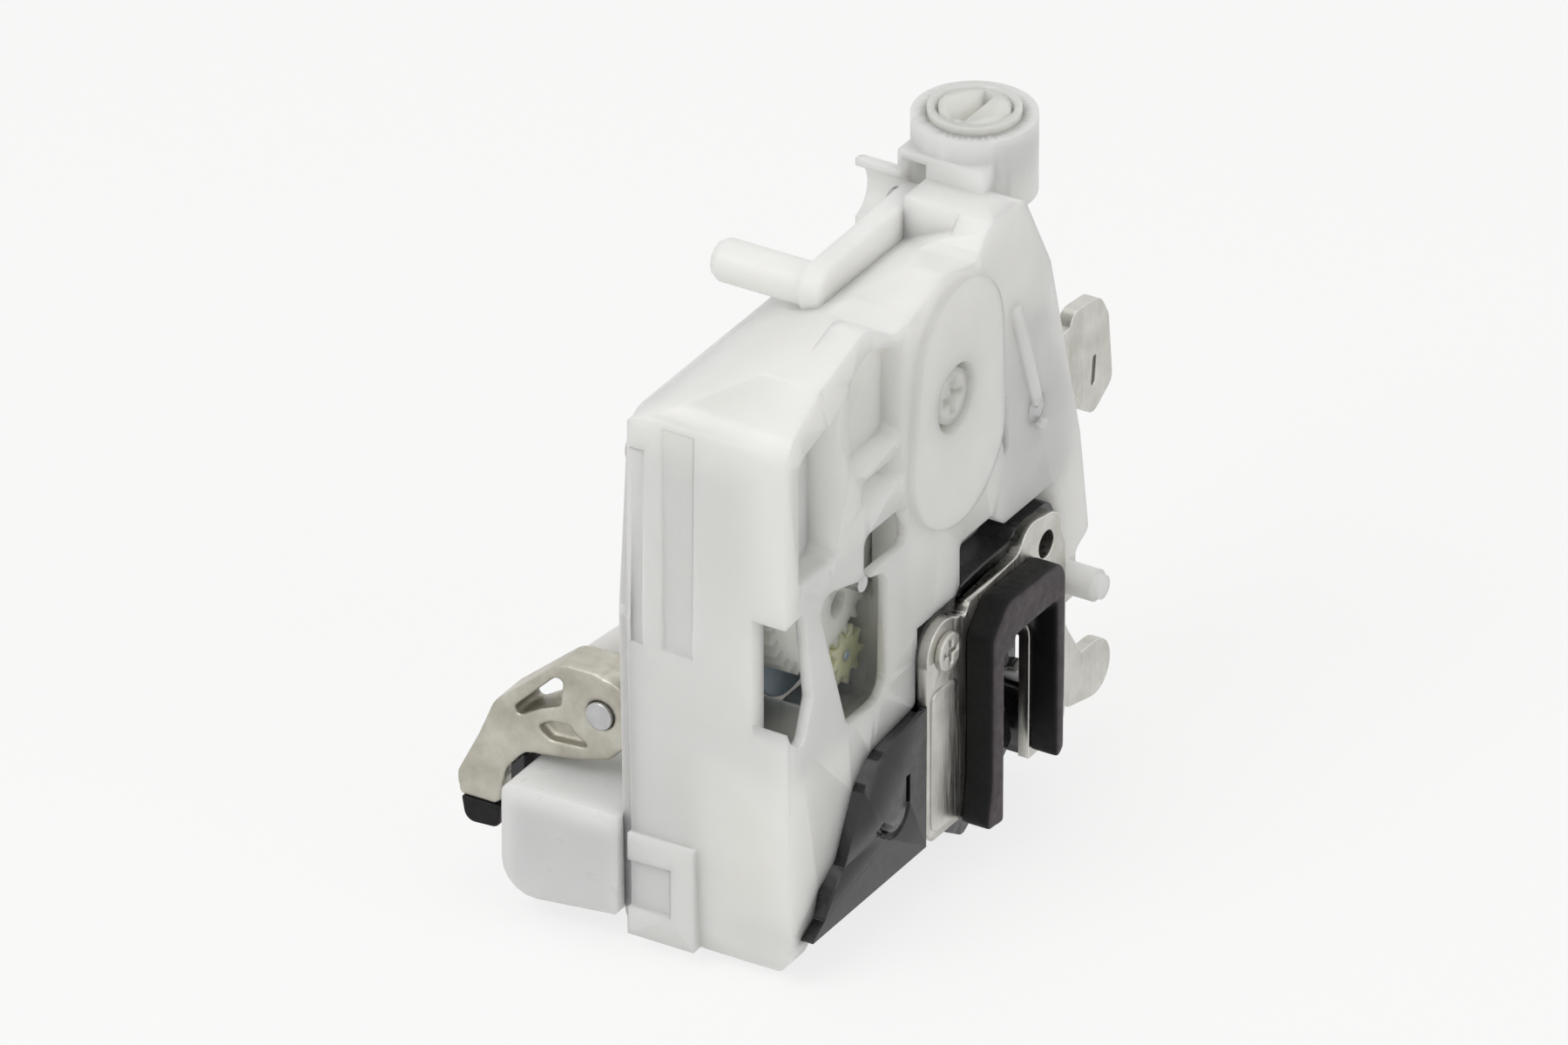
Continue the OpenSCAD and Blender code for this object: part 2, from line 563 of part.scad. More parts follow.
// Both claw pieces are drawn closed and turned to the open rest place
module claw_open() {
    translate([0, claw_c[0], claw_c[1]]) rotate([-claw_turn, 0, 0])
        translate([0, -claw_c[0], -claw_c[1]]) children();
}
module claw() color([0.7, 0.7, 0.68]) claw_open() claw_steel(claw_x0, claw_x1);
module claw_jacket() color([0.1, 0.1, 0.1]) claw_open() difference() {
    claw_skin(claw_x0 - jacket_skin, claw_x1 + jacket_skin);
    claw_steel(claw_x0, claw_x1);
}

module rivet(c, r) {
    rod_x(c, r, back_x - rivet_head / 2, front_x);
    rod_x(c, r + 1.5, back_x - rivet_head, back_x);
}
module claw_pivot() color("silver") rivet(claw_c, claw_pivot_r);
module pawl_pivot() color("silver") rivet(pawl_c, pawl_pivot_r);

// Torsion springs wound round the two pivots, as many turns as the base has room for
function coil_turns(wire_r) = floor(4 * (spring_room - 2 * wire_r) / (2 * wire_r + 0.1)) / 4;
module pivot_spring(c, r, wire_r, turns, start)
    translate([base_x + wire_r, c[0], c[1]]) rotate([0, 90, 0])
        wire(coil_pts(r, 2 * wire_r + 0.1, turns, 0.8, 0.8, start), wire_r);
module claw_spring() color([0.3, 0.3, 0.32])
    pivot_spring(claw_c, claw_pivot_r + 1.1, claw_spring_wire, coil_turns(claw_spring_wire), 20);
module pawl_spring() color([0.3, 0.3, 0.32])
    pivot_spring(pawl_c, pawl_pivot_r + 0.8, pawl_spring_wire, coil_turns(pawl_spring_wire), 60);

module pawl() color([0.68, 0.68, 0.66]) difference() {
    reach = claw_rim_r + gap;
    yz(pawl_x0, pawl_x1) {
        polygon(link(pawl_c, 5.3, [8, 16.5], 3));
        polygon(link([8, 16.5], 3, [-1.5, 15.6], 2.6));
        polygon(concat(arc(claw_c, reach, 80, 45, 16), arc(claw_c, reach + 5, 45, 80, 16)));
    }
    rod_x(pawl_c, pawl_pivot_r + fit, pawl_x0 - 1, pawl_x1 + 1);
}
module release_lever() color([0.74, 0.74, 0.72]) difference() {
    yz(pawl_x1, release_x1) {
        polygon(link(pawl_c, 4.6, release_knee, 3.2));
        polygon(link(release_knee, 3.2, [25.4, -10.6], 4.4));
        polygon(link([25.4, -10.6], 4.4, [32.2, -11.4], 5.1));
    }
    rod_x(pawl_c, pawl_pivot_r + fit, pawl_x1 - 1, 0);
}

// Screws: a pan head with a cross recess, and a plain shank
module screw(head_r, head_h, shank_r, shank_l) {
    difference() {
        union() {
            cylinder(h = head_h, r = head_r);
            translate([0, 0, -shank_l]) cylinder(h = shank_l + eps, r = shank_r);
        }
        for (a = [0, 90]) rotate(a) translate([-head_r * 0.62, -0.45, head_h - 1.1])
            cube([head_r * 1.24, 0.9, 2]);
    }
}
module plate_screw() color("silver")
    translate([0, ear[0], ear[1]]) rotate([0, 90, 0]) screw(3.4, 1.2, 1.9, 12);
module cover_screws() color("silver") for (c = screw_places)
    translate([cover_x, c[0], c[1]]) rotate([0, -90, 0]) screw(3, 1.6, 1.4, 10);

module lock_motor() color([0.42, 0.47, 0.55]) {
    motor_x1 = sector_x0 - 0.4;
    rod_x(motor_c, motor_r, rear_x + 0.8, motor_x1);
    rod_x(motor_c, 3, motor_x1 - eps, pinion_x0 - 0.3);
    rod_x(motor_c, 1, pinion_x0 - 0.4, pinion_x1);
    for (s = [-1, 1]) translate([rear_x, motor_c[0] + 5 * s - 0.4, motor_c[1] - 1])
        cube([0.9, 0.8, 2]);
}
module drive_pinion() color([0.86, 0.88, 0.5]) difference() {
    translate([0, motor_c[0], motor_c[1]]) rotate([mesh_a_deg, 0, 0])
        yz(pinion_x0, pinion_x1) polygon(teeth_pts(pinion_r, pinion_teeth, pinion_teeth));
    rod_x(motor_c, 1 + fit, pinion_x0 - 1, pinion_x1 + 1);
}
module lock_gear() color([0.9, 0.9, 0.86]) difference() {
    union() {
        translate([0, gear_c[0], gear_c[1]]) rotate([mesh_a_deg + 180, 0, 0])
            yz(pinion_x0, pinion_x1)
                polygon(teeth_pts(wheel_r, wheel_teeth, wheel_teeth, 180 / wheel_teeth));
        translate([0, gear_c[0], gear_c[1]]) rotate([mesh_b_deg + 180, 0, 0])
            yz(sector_x0, pinion_x0 + eps)
                polygon(teeth_pts(small_r, small_teeth, small_teeth));
        rod_x(gear_c, 3, pinion_x0, pinion_x1 + 0.5);
    }
    rod_x(gear_c, 1.5 + fit, sector_x0 - 1, 0);
    // Round holes that lighten the wheel
    for (a = [0 : 60 : 300]) rod_x(gear_c + 9.8 * [cos(a), sin(a)], 2.4, pinion_x0 - 1, 0);
}
module lock_gear_axle() color("silver") rod_x(gear_c, 1.5, rear_x, front_x - 0.4);

module lock_sector() color([0.93, 0.93, 0.9]) difference() {
    sector_pitch = 360 / sector_teeth;
    first = mesh_b_deg - sector_pitch / 2;
    sector_count = floor(lock_turn / sector_pitch) + 3;
    union() {
        translate([0, hub_c[0], hub_c[1]]) yz(sector_x0, sector_x1) {
            polygon(concat([[-1, 1]], teeth_pts(sector_r, sector_count, sector_teeth, first)));
            circle(7.6);
        }
        rod_x(hub_c, hub_r, cover_x - 2, front_x + 0.8);
    }
    // Window in the sector, cross drive in the hub's end
    translate([0, hub_c[0], hub_c[1]]) yz(sector_x0 - 1, sector_x1 + 1)
        polygon(concat(arc([0, 0], 14, first + 4, first + lock_turn + 1),
                       arc([0, 0], 24.5, first + lock_turn + 2, first + 2)));
    for (a = [0, 90]) translate([front_x - 2, hub_c[0], hub_c[1]]) rotate([a, 0, 0])
        translate([0, -0.9, -3.2]) cube([5, 1.8, 6.4]);
}

module knob_lever() color("whitesmoke") {
    peg_x0 = knob_x0 - knob_peg_l;
    difference() {
        union() {
            yz(knob_x0, knob_x0 + knob_arm_t) polygon(link(knob_c, 4.4, knob_end, 4.6));
            rod_x(knob_end, knob_peg_r, peg_x0 + 1, knob_x0 + eps);
            rod_x(knob_end, knob_peg_r - 0.7, peg_x0, peg_x0 + 1.1);
        }
        rod_x(knob_c, 2 + fit, knob_x0 - 1, knob_x0 + 10);
    }
}
module knob_lever_pin() color("silver") {
    rod_x(knob_c, 2, knob_x0 - gap, -9.6);
    rod_x(knob_c, 3.2, knob_x0 - gap - 1.2, knob_x0 - gap + eps);
}

module key_rotor() color([0.92, 0.92, 0.88]) translate([tower_c[0], tower_c[1], 0])
    difference() {
        union() {
            translate([0, 0, 90.3]) cylinder(h = tower_top - 90.3 + 1.2, r = rotor_r);
            translate([0, 0, 85.5]) cylinder(h = 5, r = 3);
        }
        translate([-1.3, -5.2, 93]) cube([2.6, 10.4, 20]);
        difference() {
            translate([0, 0, 97]) cylinder(h = 5, r = rotor_r - 1.2);
            translate([0, 0, 96]) cylinder(h = 7, r = 5.9);
        }
    }

module inside_lever() color([0.74, 0.74, 0.71]) difference() {
    x0 = -7.1;
    yz(x0, x0 + inside_t) {
        polygon(link(inside_c, 6, [28, 49.6], 5.6));
        polygon(link(inside_c, 5, [8, 38.4], 3));
        polygon(rounded([[26.6, 57.6, 3], [36.6, 56.6, 4], [39.4, 52, 3], [40.8, 39, 2.5],
                         [34, 35, 2.5], [26.8, 43.5, 2]]));
    }
    rod_x(inside_c, 2.5 + fit, x0 - 1, 0);
    yz(x0 - 1, 0) polygon(link([34.4, 41.4], slit_w / 2, [34.9, 45.6], slit_w / 2 - 0.05));
}
module inside_lever_pin() color("silver") {
    rod_x(inside_c, 2.5, -7.4, front_x - 0.2);
    rod_x(inside_c, 4, -9, -7.3);
}

// Cast outside lever, drawn about its pivot: a solid tip, a thin upper bar over a window, and
// a lower arm with a groove
outside_y0 = -60;
outside_ear_y1 = -44.6;
outside_ear_y0 = outside_ear_y1 - 3;
module about_outside(y0, y1) xz(y0, y1) translate(outside_c) children();
module outside_lever() color([0.62, 0.61, 0.57]) difference() {
    y1 = outside_y0 + outside_w;
    union() {
        difference() {
            about_outside(outside_y0, y1) polygon(rounded([
                [3, 7.6, 5], [-7.6, 7.4, 5], [-20.4, -3.4, 5], [-23.4, -10.6, 5],
                [-27.6, -19, 3], [-27, -23, 1], [-19.6, -23, 1.4], [-18, -15.4, 3],
                [-14.6, -11.4, 3], [-6, -10.2, 4], [4, -7.6, 4.5]]));
            about_outside(outside_y0 - 1, y1 + 1) polygon(rounded([
                [-16, -5, 0.8], [-16.4, -3.2, 0.8], [-8.6, 4.6, 1.5], [-7.2, 4.2, 0.6],
                [-7.6, -0.6, 1], [-11.4, -2.2, 2]]));
            about_outside(outside_y0 - 1, outside_y0 + 2) polygon(rounded([
                [-12.4, -5.8, 0.8], [-9.6, -4.2, 1], [-1, -3.4, 1], [-1, -7, 1],
                [-9.6, -7.6, 1]]));
            about_outside(y1 - 3, y1 + 1) polygon(rounded([
                [-17.4, -7.4, 1], [-20, -11, 2], [-24, -18.4, 1], [-22.4, -19.8, 0.6],
                [-18.6, -12.6, 2], [-10, -9.4, 0.6], [-10, -7.6, 0.6]]));
        }
        about_outside(outside_y0, y1) circle(outside_hub_r);
        about_outside(y1 - eps, outside_ear_y0 - gap) circle(3.5);
    }
    about_outside(outside_y0 - 1, outside_ear_y1) circle(2.5 + fit);
}
module lever_bumper() color([0.1, 0.1, 0.1])
    about_outside(outside_y0 - 0.3, outside_y0 + outside_w + 0.3) polygon(rounded([
        [-26.6, -23, 0.4], [-19, -23, 0.4], [-19.4, -27.2, 1.4], [-25.8, -27.6, 2]]));
module rod_clip() color([0.1, 0.1, 0.1])
    about_outside(outside_y0 + 0.6, outside_y0 + outside_w - 0.6) polygon([
        [-17.5, -14.812], [-15.35, -12.282], [-14.8, -12.5], [-14.8, -17.6], [-17.6, -19.4]]);
module outside_lever_pin() color("silver") {
    about_outside(outside_y0 - 0.6, outside_ear_y1 + 1) circle(2.5);
    about_outside(outside_ear_y1 + 0.3, outside_ear_y1 + 1.8) circle(3.6);
}
// Return spring round the lever's hub, between lever and ear
module lever_spring() color([0.25, 0.24, 0.24])
    translate([outside_c[0], outside_ear_y0 - 0.8, outside_c[1]]) rotate([90, 0, 0])
        wire(coil_pts(4.4, 1.5, 1.25, 5.2, 6, 200), 0.7, 10);

hood_z0 = -19.6;
hood_roof = hood_z0 + hood_h - 4;
pin_l = 10.4;
module connector_hood() color([0.93, 0.93, 0.93]) {
    y0 = -68;
    x0 = cover_x - hood_l;
    difference() {
        xz(y0, y0 + hood_w) polygon(rounded([
            [x0, hood_z0, 6], [cover_x, hood_z0 + 2.4, 0.6], [cover_x, hood_z0 + hood_h, 0.6],
            [x0, hood_z0 + hood_h, 2]]));
        xz(y0 + hood_wall, y0 + hood_w - hood_wall) polygon(rounded([
            [x0 + hood_wall, hood_z0 - 5, 0.5], [cover_x - 2, hood_z0 - 5, 0.5],
            [cover_x - 2, hood_roof, 1], [x0 + hood_wall, hood_roof, 1]]));
    }
}
module terminal_pins() color("gold") {
    for (i = [0 : pin_count - 1], x = [cover_x - 16, cover_x - 8])
        translate([x, -68 + hood_w / 2 - 0.4 + (i - (pin_count - 1) / 2) * 3.2,
                   hood_roof - pin_l]) cube([0.8, 0.8, pin_l]);
}
module contact_strips() color([0.8, 0.65, 0.35]) {
    for (i = [0 : 2]) translate([rear_x, -60 + 4 * i, -12]) cube([0.6, 2, 24 + 4 * i]);
    translate([rear_x, -60, -14]) cube([0.6, 10, 2.1]);
}
switch_d = 5.4;
module claw_switch() color([0.15, 0.15, 0.17])
    translate([base_x, -50, -9]) cube([switch_d, 10, 8]);

main_housing();
housing_cover();
latch_base();
face_plate();
back_plate();
mouth_seal();
striker_buffer();
claw();
claw_jacket();
claw_pivot();
claw_spring();
pawl();
release_lever();
pawl_pivot();
pawl_spring();
plate_screw();
cover_screws();
lock_motor();
drive_pinion();
lock_gear();
lock_gear_axle();
lock_sector();
knob_lever();
knob_lever_pin();
key_rotor();
inside_lever();
inside_lever_pin();
outside_lever();
lever_bumper();
rod_clip();
outside_lever_pin();
lever_spring();
connector_hood();
terminal_pins();
contact_strips();
claw_switch();
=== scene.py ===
import bpy
import math
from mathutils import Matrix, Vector


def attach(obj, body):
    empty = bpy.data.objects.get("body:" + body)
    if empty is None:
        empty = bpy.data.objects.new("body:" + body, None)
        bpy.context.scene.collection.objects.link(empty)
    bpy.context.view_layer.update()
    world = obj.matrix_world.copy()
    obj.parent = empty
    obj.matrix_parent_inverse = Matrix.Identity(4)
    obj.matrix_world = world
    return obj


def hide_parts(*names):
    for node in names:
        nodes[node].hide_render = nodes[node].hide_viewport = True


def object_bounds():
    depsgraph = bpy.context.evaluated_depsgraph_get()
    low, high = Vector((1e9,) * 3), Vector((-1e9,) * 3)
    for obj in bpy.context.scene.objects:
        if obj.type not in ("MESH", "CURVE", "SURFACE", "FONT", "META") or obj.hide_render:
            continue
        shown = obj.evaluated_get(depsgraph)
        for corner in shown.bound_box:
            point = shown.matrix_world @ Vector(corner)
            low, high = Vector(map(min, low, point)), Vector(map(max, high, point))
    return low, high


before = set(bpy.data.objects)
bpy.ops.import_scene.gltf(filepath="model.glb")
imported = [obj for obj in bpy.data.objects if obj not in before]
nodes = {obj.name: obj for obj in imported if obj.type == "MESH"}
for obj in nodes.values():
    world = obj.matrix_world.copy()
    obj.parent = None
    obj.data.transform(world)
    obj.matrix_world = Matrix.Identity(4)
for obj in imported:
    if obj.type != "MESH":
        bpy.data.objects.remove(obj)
cad_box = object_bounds()

# The picture: a long lens that looks down on the lock at 30 degrees, 31 degrees round from its
# connector side, as in the photograph. Three soft lamps and a pale surround light it.
turn, rise = math.radians(31), math.radians(30)
lens_mm, sensor_mm, camera_gap = 500, 36, 3.5714
lock_middle = (0, 0, 0.03)
back = Vector((math.sin(turn) * math.cos(rise), -math.cos(turn) * math.cos(rise), math.sin(rise)))
right = Vector((math.cos(turn), math.sin(turn), 0))
up = back.cross(right)
aim = -0.037 * right + 0.0286 * up
camera_data = bpy.data.cameras.new("camera")
camera_data.lens, camera_data.sensor_width = lens_mm, sensor_mm
camera_data.clip_start, camera_data.clip_end = 0.1, 40
camera = bpy.data.objects.new("camera", camera_data)
bpy.context.scene.collection.objects.link(camera)
camera.location = aim + camera_gap * back
camera.rotation_euler = (-back).to_track_quat("-Z", "Y").to_euler()
bpy.context.scene.camera = camera
bpy.context.scene.view_settings.view_transform = "Standard"


def lamp(name, place, size, watts, colour=(1, 1, 1)):
    """A round soft lamp of size metres that faces the lock's middle."""
    data = bpy.data.lights.new(name, "AREA")
    data.shape, data.size, data.energy, data.color = "DISK", size, watts, colour
    light = bpy.data.objects.new(name, data)
    light.location = place
    aimed = Vector(lock_middle) - Vector(place)
    light.rotation_euler = aimed.to_track_quat("-Z", "Y").to_euler()
    bpy.context.scene.collection.objects.link(light)


lamp("key_lamp", (-0.25, -0.75, 0.85), 0.6, 3.7, (1, 0.998, 0.99))
lamp("fill_lamp", (0.85, -0.1, 0.45), 0.7, 1.2)
lamp("top_lamp", (-0.1, 0.35, 0.95), 0.7, 1.0)


def add_node(tree, kind, at=(), **given):
    """Adds a shader node. Given names and the numbered sockets in at take a value or a link."""
    made = tree.nodes.new(kind)
    wanted = []
    for key, value in given.items():
        if key in ("operation", "data_type"):
            setattr(made, key, value)
        else:
            wanted.append((key.replace("_", " "), value))
    for socket, value in wanted + list(at):
        if isinstance(value, bpy.types.NodeSocket):
            tree.links.new(value, made.inputs[socket])
        else:
            made.inputs[socket].default_value = value
    return made


def linear(hex_colour):
    """An sRGB hex value as linear colour."""
    parts = [int(hex_colour[i:i + 2], 16) / 255 for i in (1, 3, 5)]
    return [c / 12.92 if c < 0.04045 else ((c + 0.055) / 1.055) ** 2.4 for c in parts] + [1]


# The surround: seen by the camera, in reflections and through clear pieces it is white; as light
# on the lock it is softer, so that the pale housing keeps its shading.
world = bpy.data.worlds.new("pale_surround")
bpy.context.scene.world = world
world.use_nodes = True
tree = world.node_tree
tree.nodes.clear()
path = add_node(tree, "ShaderNodeLightPath")
seen = add_node(tree, "ShaderNodeMath", operation="MAXIMUM",
                at=((0, path.outputs["Is Camera Ray"]), (1, path.outputs["Is Transmission Ray"])))
seen = add_node(tree, "ShaderNodeMath", operation="MAXIMUM",
                at=((0, seen.outputs[0]), (1, path.outputs["Is Glossy Ray"])))
soft = add_node(tree, "ShaderNodeBackground", Color=linear("#F9F8F5"), Strength=0.55)
white = add_node(tree, "ShaderNodeBackground", Color=(1, 1, 1, 1), Strength=1.0)
mixed = add_node(tree, "ShaderNodeMixShader",
                 at=((0, seen.outputs[0]), (1, soft.outputs[0]), (2, white.outputs[0])))
add_node(tree, "ShaderNodeOutputWorld", Surface=mixed.outputs[0])

# The floor: a plain pale sheet just under the lock. It shows white with the lock's soft shadow,
# and as white in the metal's reflections.
sheet_gap, sheet_whiteness = 0.0006, 0.78
bpy.ops.object.select_all(action="DESELECT")
bpy.ops.mesh.primitive_plane_add(size=6, location=(0, 0, cad_box[0][2] - sheet_gap))
floor = bpy.context.object
floor.name = "floor"
paper = bpy.data.materials.new("white_paper_sheet")
paper.use_nodes = True
tree = paper.node_tree
tree.nodes.clear()
path = add_node(tree, "ShaderNodeLightPath")
seen = add_node(tree, "ShaderNodeMath", operation="MULTIPLY",
                at=((0, path.outputs["Is Camera Ray"]), (1, sheet_whiteness)))
seen = add_node(tree, "ShaderNodeMath", operation="MAXIMUM",
                at=((0, seen.outputs[0]), (1, path.outputs["Is Glossy Ray"])))
matt = add_node(tree, "ShaderNodeBsdfDiffuse", Color=linear("#F2F2F1"))
glow = add_node(tree, "ShaderNodeEmission", Color=(1, 1, 1, 1), Strength=1.0)
mixed = add_node(tree, "ShaderNodeMixShader",
                 at=((0, seen.outputs[0]), (1, matt.outputs[0]), (2, glow.outputs[0])))
add_node(tree, "ShaderNodeOutputMaterial", Surface=mixed.outputs[0])
floor.data.materials.append(paper)


# Main housing: one deep box of natural white acetal, injection moulded, with a raised oval boss,
# windows over the gear train, a key tower at the top and columns for the cover's screws.
def start_material(name, **settings):
    """A new material with a Principled shader that has these settings."""
    made = bpy.data.materials.new(name)
    made.use_nodes = True
    tree = made.node_tree
    shader = tree.nodes["Principled BSDF"]
    for key, value in settings.items():
        shader.inputs[key.replace("_", " ")].default_value = value
    place = add_node(tree, "ShaderNodeTexCoord").outputs["Object"]
    return made, tree, shader, place


def mottled(tree, place, scale, low, high, detail=4.0, edges=(0.3, 0.7)):
    """A noise that runs between two colours; scale is in cells per metre."""
    noise = add_node(tree, "ShaderNodeTexNoise", Vector=place, Scale=scale, Detail=detail,
                     Roughness=0.55)
    ramp = add_node(tree, "ShaderNodeValToRGB", Fac=noise.outputs["Fac"])
    ramp.color_ramp.elements[0].position, ramp.color_ramp.elements[0].color = edges[0], low
    ramp.color_ramp.elements[1].position, ramp.color_ramp.elements[1].color = edges[1], high
    return ramp.outputs["Color"]


def grey(value):
    """A plain value in the form of a ramp's colour."""
    return (value, value, value, 1)


def grained(tree, place, shader, scale, strength, depth, edge=0.0004):
    """A fine bump over edges that look broken by edge metres; scale is in cells per metre."""
    noise = add_node(tree, "ShaderNodeTexNoise", Vector=place, Scale=scale, Detail=3.0)
    soft = add_node(tree, "ShaderNodeBevel", Radius=edge)
    bump = add_node(tree, "ShaderNodeBump", Strength=strength, Distance=depth,
                    Height=noise.outputs["Fac"], Normal=soft.outputs["Normal"])
    tree.links.new(bump.outputs["Normal"], shader.inputs["Normal"])


def edge_worn(tree, colour, bright, edge=0.0005):
    """Runs a colour to a brighter one along the edges, where handling has rubbed the skin."""
    soft = add_node(tree, "ShaderNodeBevel", Radius=edge)
    true = add_node(tree, "ShaderNodeNewGeometry")
    along = add_node(tree, "ShaderNodeVectorMath", operation="DOT_PRODUCT",
                     at=((0, soft.outputs["Normal"]), (1, true.outputs["Normal"])))
    apart = add_node(tree, "ShaderNodeMath", operation="SUBTRACT",
                     at=((0, 1.0), (1, along.outputs["Value"])))
    rim_begins, rim_full = 0.02, 0.35
    rim = add_node(tree, "ShaderNodeMapRange",
                   at=((0, apart.outputs[0]), (1, rim_begins), (2, rim_full)))
    mixed = add_node(tree, "ShaderNodeMix", data_type="RGBA",
                     at=((0, rim.outputs[0]), (6, colour), (7, bright)))
    return mixed.outputs[2]


def moulded_acetal(name, pale, deep, gloss=0.4):
    """Acetal as moulded: light sinks 8 mm into it, under a satin skin of 0.4 mm eroded grain."""
    made, tree, shader, place = start_material(
        name, Roughness=gloss, IOR=1.48, Subsurface_Weight=1.0, Subsurface_Scale=0.008,
        Specular_IOR_Level=0.45)
    shader.inputs["Subsurface Radius"].default_value = (1.0, 0.98, 0.94)
    flow = mottled(tree, place, 38, linear(deep), linear(pale), 3.0, (0.32, 0.66))
    tree.links.new(flow, shader.inputs["Base Color"])
    tree.links.new(mottled(tree, place, 260, grey(gloss - 0.05), grey(gloss + 0.09)),
                   shader.inputs["Roughness"])
    grained(tree, place, shader, 2400, 0.16, 0.00008)
    return made


def copied(node, name):
    """A copy of a CAD solid, alone selected, with its loose triangles joined."""
    bpy.ops.object.select_all(action="DESELECT")
    piece = bpy.data.objects.new(name, nodes[node].data.copy())
    bpy.context.scene.collection.objects.link(piece)
    piece.data.name = name
    bpy.context.view_layer.objects.active = piece
    piece.select_set(True)
    bpy.ops.object.mode_set(mode="EDIT")
    bpy.ops.mesh.select_all(action="SELECT")
    bpy.ops.mesh.remove_doubles(threshold=0.000002)
    bpy.ops.object.mode_set(mode="OBJECT")
    return piece


def handed_over(piece, node, body, material, smooth=38):
    """Shades the piece, gives it its material and body, and lets it stand for its CAD node."""
    bpy.ops.object.shade_smooth_by_angle(angle=math.radians(smooth))
    flat = piece.modifiers.new("flat_faces_stay_flat", "WEIGHTED_NORMAL")
    flat.keep_sharp = True
    bpy.ops.object.modifier_apply(modifier="flat_faces_stay_flat")
    piece.data.materials.clear()
    piece.data.materials.append(material)
    piece.select_set(False)
    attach(piece, body)
    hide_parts(node)
    return piece


def finished(node, name, edge, body, material, steps=2, smooth=38):
    """A moulding or stamping whose edges are rounded by edge metres, where it isn't 0."""
    piece = copied(node, name)
    if edge:
        bpy.ops.object.mode_set(mode="EDIT")
        bpy.ops.mesh.select_all(action="SELECT")
        bpy.ops.mesh.dissolve_limited(angle_limit=math.radians(0.5))
        bpy.ops.mesh.vert_connect_concave()
        bpy.ops.object.mode_set(mode="OBJECT")
        rounding = piece.modifiers.new("rounding", "BEVEL")
        rounding.width, rounding.segments = edge, steps
        rounding.limit_method, rounding.angle_limit = "ANGLE", math.radians(30)
        rounding.miter_outer = "MITER_ARC"
        bpy.ops.object.modifier_apply(modifier="rounding")
    return handed_over(piece, node, body, material, smooth)


def softened(node, name, cell, passes, body, material):
    """A soft or cast piece: rebuilt in cells of even size, then relaxed, so each edge is full."""
    piece = copied(node, name)
    even = piece.modifiers.new("even", "REMESH")
    even.mode, even.voxel_size = "VOXEL", cell
    bpy.ops.object.modifier_apply(modifier="even")
    relaxed = piece.modifiers.new("relaxed", "SMOOTH")
    relaxed.factor, relaxed.iterations = 0.5, passes
    bpy.ops.object.modifier_apply(modifier="relaxed")
    handed_over(piece, node, body, material, 80)


natural_acetal = moulded_acetal("acetal_natural_white_moulded", "#F4F4F2", "#EEEEEB")
finished("main_housing", "housing_moulding", 0, "lock_body",
         natural_acetal, smooth=28)

# Rear cover: a flat white moulding with three ribs and the outside lever's ear. Five screws hold
# it on the housing's columns.
finished("housing_cover", "cover_moulding", 0, "lock_body",
         natural_acetal)

# Latch base: the glossy black nylon moulding that carries claw and pawl, with a hook-shaped
# groove in its front foot.
black_nylon, tree, shader, place = start_material(
    "nylon_black_moulded_gloss", Roughness=0.24, IOR=1.53, Specular_IOR_Level=0.5)
tree.links.new(mottled(tree, place, 60, linear("#161617"), linear("#1E1D1F")),
               shader.inputs["Base Color"])
tree.links.new(mottled(tree, place, 420, grey(0.2), grey(0.36)), shader.inputs["Roughness"])
grained(tree, place, shader, 1600, 0.10, 0.00008, 0.0002)
finished("latch_base", "base_moulding", 0, "lock_body", black_nylon)


# Face plate and back plate: 2 mm steel, stamped and zinc plated. The face plate has two swaged M6
# collars and a round ear; its edges are rubbed bright.
def zinc_plated(name, light, dark, rough=0.34):
    """Zinc plate on stamped steel: pale warm grey, satin, 0.5 mm rolling lines and cloudy spots."""
    made, tree, shader, place = start_material(name, Metallic=1.0, Roughness=rough)
    skin = mottled(tree, place, 150, linear(dark), linear(light), 5.0, (0.3, 0.72))
    tree.links.new(edge_worn(tree, skin, linear("#F3F3EF"), 0.0004),
                   shader.inputs["Base Color"])
    lines = add_node(tree, "ShaderNodeMapping", Vector=place)
    lines.inputs["Scale"].default_value = (1, 1, 0.06)
    tree.links.new(mottled(tree, lines.outputs["Vector"], 1900, grey(rough - 0.1),
                           grey(rough + 0.16)), shader.inputs["Roughness"])
    grained(tree, lines.outputs["Vector"], shader, 1700, 0.22, 0.00006)
    return made


plated_steel = zinc_plated("steel_zinc_plated_stamped", "#CFCEC8", "#B3B1A9")
finished("face_plate", "plate_stamping", 0, "lock_body", plated_steel)
finished("back_plate", "back_plate_stamping", 0, "lock_body",
         plated_steel)

# Seal round the mouth and striker buffer: black EPDM rubber, moulded, with full round lips. The
# faces that look forward carry a painted highlight in grey, the flanks stay black.
epdm_rubber, tree, shader, place = start_material(
    "epdm_rubber_black_moulded", Roughness=0.5, IOR=1.5, Specular_IOR_Level=0.3)
# Painted highlight: where the normal points along +X, towards the lamps, the rubber's colour runs
# from black to a lighter grey.
facing = add_node(tree, "ShaderNodeSeparateXYZ",
                  Vector=add_node(tree, "ShaderNodeNewGeometry").outputs["Normal"])
front = add_node(tree, "ShaderNodeMapRange",
                 at=((0, facing.outputs["X"]), (1, 0.55), (2, 0.92)))
flank = mottled(tree, place, 120, linear("#060506"), linear("#0C0A0B"))
painted_front_highlight = mottled(tree, place, 260, linear("#3B3538"), linear("#4C4548"))
skin = add_node(tree, "ShaderNodeMix", data_type="RGBA",
                at=((0, front.outputs[0]), (6, flank), (7, painted_front_highlight)))
tree.links.new(skin.outputs[2], shader.inputs["Base Color"])
tree.links.new(mottled(tree, place, 700, grey(0.46), grey(0.66)), shader.inputs["Roughness"])
grained(tree, place, shader, 3000, 0.25, 0.0001)
softened("mouth_seal", "seal_moulding", 0.0003, 14, "lock_body", epdm_rubber)
